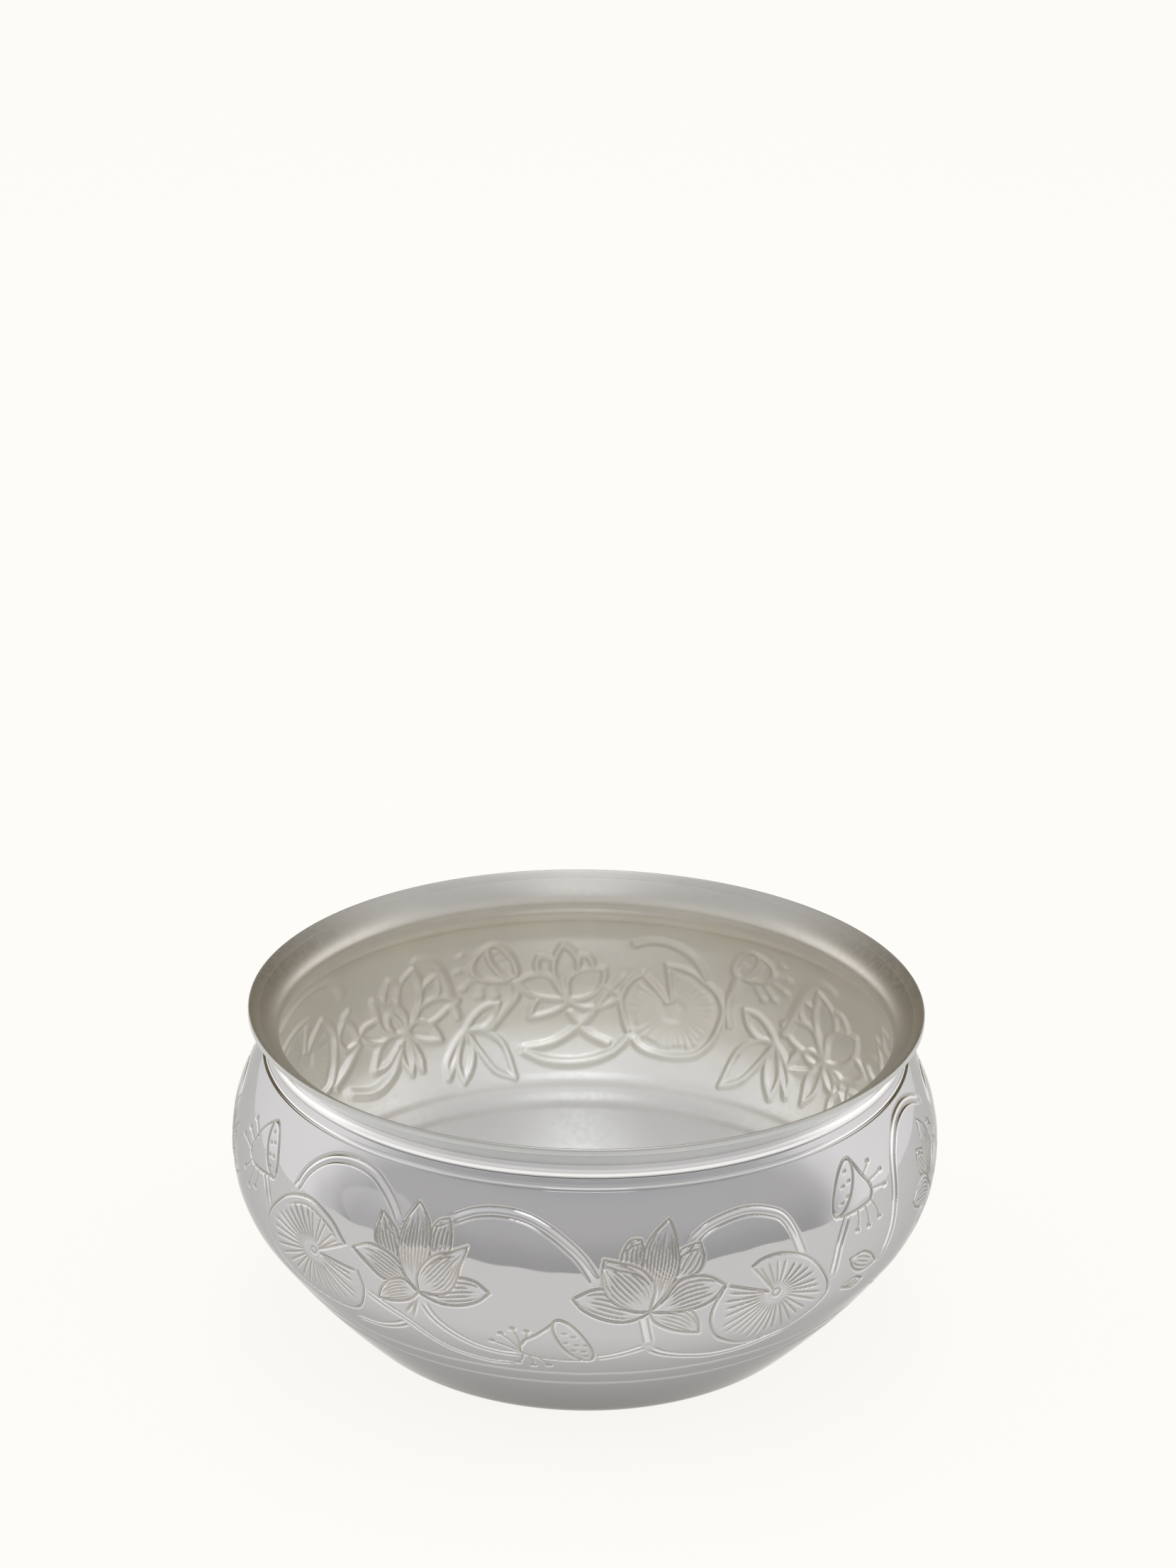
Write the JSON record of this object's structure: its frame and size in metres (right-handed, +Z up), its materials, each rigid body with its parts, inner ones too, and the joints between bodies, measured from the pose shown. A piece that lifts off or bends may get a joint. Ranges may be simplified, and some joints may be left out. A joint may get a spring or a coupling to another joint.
{
  "type": "lota water pot",
  "caption": "Low round-bellied lota water pot in silvered metal with a wide flared mouth, a neck ring and a chased band of lotus plants.",
  "frame": {"origin": "centre of the flat base, on the surface that the pot stands on", "axes": "+Z up along the pot's axis of revolution; -Y is the side that the chased pattern is laid out from"},
  "size_m": [0.12, 0.12, 0.058],
  "materials": {
    "polished_body": "polished",
    "polished_collar": "polished",
    "polished_ring": "polished",
    "polished_rim": "polished"
  },
  "bodies": {
    "root": {"chased_body": "polished_body", "mouth_collar": "polished_collar", "neck_ring": "polished_ring", "rim_wire": "polished_rim"}
  },
  "joints": []
}
